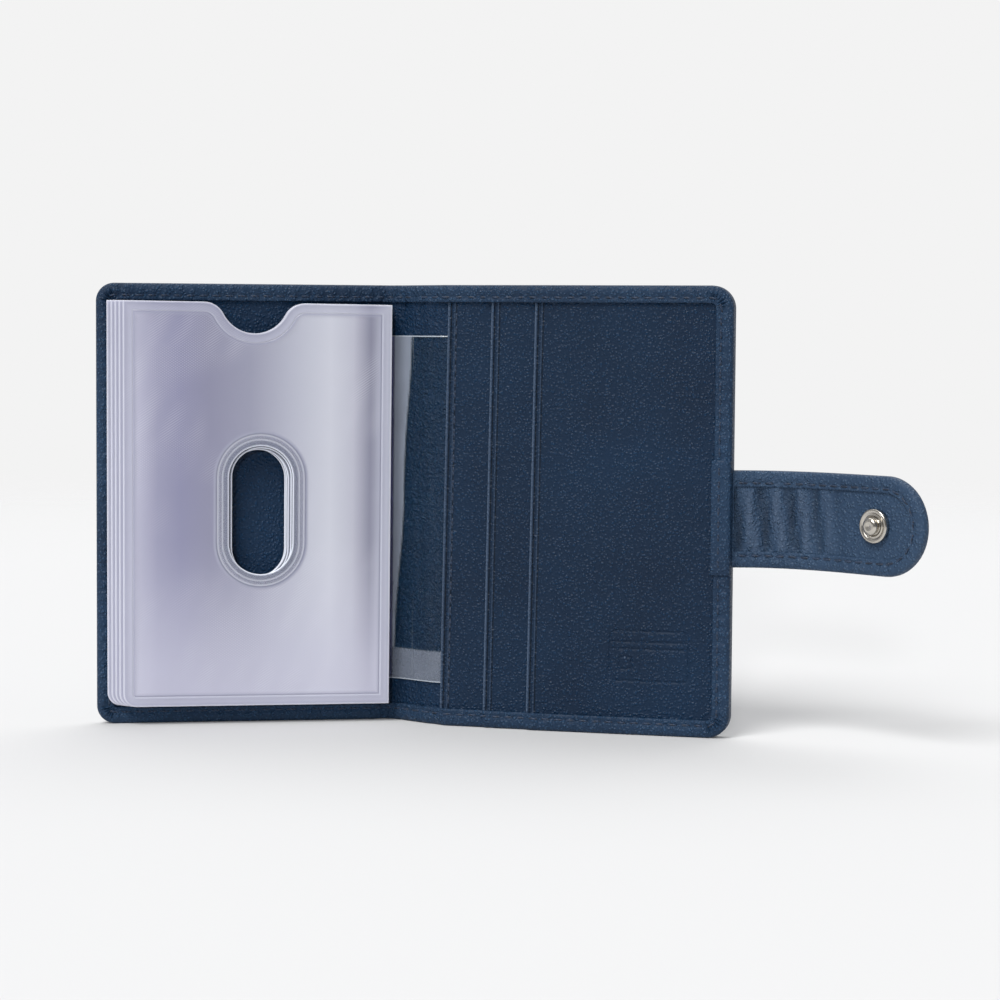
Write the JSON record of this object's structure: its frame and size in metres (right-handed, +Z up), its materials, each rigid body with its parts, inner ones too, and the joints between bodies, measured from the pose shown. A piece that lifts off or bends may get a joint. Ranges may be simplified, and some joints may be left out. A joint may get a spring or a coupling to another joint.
{
  "type": "card wallet",
  "caption": "Leather card wallet opened on its bottom edges, with clear card sleeves, upright card pockets and a snap strap.",
  "frame": {"origin": "middle of the whole wallet's footprint, on the surface it stands on", "axes": "+X along the opened wallet towards the strap, +Y out of the back of the covers, +Z up"},
  "size_m": [0.187, 0.0576, 0.102],
  "materials": {
    "outer_leather": "fine grain, satin",
    "lining_leather": "fine grain, satin",
    "stiffener": "matt",
    "shield_film": "foil",
    "clear_sheet": "clear PVC",
    "frosted_sleeve": "frosted PVC",
    "thread": "bonded polyester",
    "nickel": "nickel plated"
  },
  "bodies": {
    "left_cover": {"outer_leather_left": "outer_leather", "board_left": "stiffener", "shield_film_left": "shield_film", "lining_left": "lining_leather", "insert_tongue_left": "clear_sheet", "stitches_left": "thread", "snap_socket": "nickel", "snap_socket_rivet": "nickel"},
    "spine": {"outer_leather_spine": "outer_leather", "lining_spine": "lining_leather", "insert_flap": "clear_sheet", "stitches_spine": "thread"},
    "right_cover": {"outer_leather_right": "outer_leather", "board_right": "stiffener", "shield_film_right": "shield_film", "insert_tongue_right": "clear_sheet", "pocket_1": "lining_leather", "pocket_2": "lining_leather", "pocket_3": "lining_leather", "stitches_right": "thread", "stitches_pocket": "thread", "strap_tab": "outer_leather", "stitches_tab": "thread"},
    "strap_root": {"strap_leather_root": "outer_leather", "strap_core_root": "stiffener", "strap_lining_root": "lining_leather", "stitches_strap_root": "thread"},
    "strap_tip": {"strap_leather_tip": "outer_leather", "strap_core_tip": "stiffener", "strap_lining_tip": "lining_leather", "stitches_strap_tip": "thread", "snap_stud": "nickel", "snap_cap": "nickel"},
    "leaf_1": {"leaf_1_front": "frosted_sleeve", "leaf_1_back": "frosted_sleeve"},
    "leaf_2": {"leaf_2_front": "frosted_sleeve", "leaf_2_back": "frosted_sleeve"},
    "leaf_3": {"leaf_3_front": "frosted_sleeve", "leaf_3_back": "frosted_sleeve"},
    "leaf_4": {"leaf_4_front": "frosted_sleeve", "leaf_4_back": "frosted_sleeve"},
    "leaf_5": {"leaf_5_front": "frosted_sleeve", "leaf_5_back": "frosted_sleeve"}
  },
  "joints": [
    {"name": "crease_left", "type": "hinge", "parent": "left_cover", "child": "spine", "pos_m": [-0.02519, 0.02766, 0], "axis": [0, 0, 1], "range_deg": [-40, 50]},
    {"name": "crease_right", "type": "hinge", "parent": "spine", "child": "right_cover", "pos_m": [-0.01425, 0.01815, 0], "axis": [0, 0, 1], "range_deg": [-117, 8]},
    {"name": "strap_root_bend", "type": "hinge", "parent": "right_cover", "child": "strap_root", "pos_m": [0.05299, 0.00014, 0], "axis": [0, 0, 1], "range_deg": [-86.5, 28.5]},
    {"name": "strap_mid_bend", "type": "hinge", "parent": "strap_root", "child": "strap_tip", "pos_m": [0.06968, -0.00512, 0], "axis": [0, 0, 1], "range_deg": [-60.5, 44.5]},
    {"name": "leaf_turn", "type": "hinge", "parent": "left_cover", "child": "leaf_1", "pos_m": [-0.02556, 0.02102, 0], "axis": [0, 0, 1], "range_deg": [0, 140]},
    {"name": "leaf_2_turn", "type": "hinge", "parent": "left_cover", "child": "leaf_2", "pos_m": [-0.02556, 0.02102, 0], "axis": [0, 0, 1], "range_deg": [0, 112]},
    {"name": "leaf_3_turn", "type": "hinge", "parent": "left_cover", "child": "leaf_3", "pos_m": [-0.02556, 0.02102, 0], "axis": [0, 0, 1], "range_deg": [0, 84]},
    {"name": "leaf_4_turn", "type": "hinge", "parent": "left_cover", "child": "leaf_4", "pos_m": [-0.02556, 0.02102, 0], "axis": [0, 0, 1], "range_deg": [0, 56]},
    {"name": "leaf_5_turn", "type": "hinge", "parent": "left_cover", "child": "leaf_5", "pos_m": [-0.02556, 0.02102, 0], "axis": [0, 0, 1], "range_deg": [0, 28]}
  ],
  "couplings": [
    {"joint": "leaf_2_turn", "follows": "leaf_turn", "ratio": 0.8},
    {"joint": "leaf_3_turn", "follows": "leaf_turn", "ratio": 0.6},
    {"joint": "leaf_4_turn", "follows": "leaf_turn", "ratio": 0.4},
    {"joint": "leaf_5_turn", "follows": "leaf_turn", "ratio": 0.2}
  ]
}
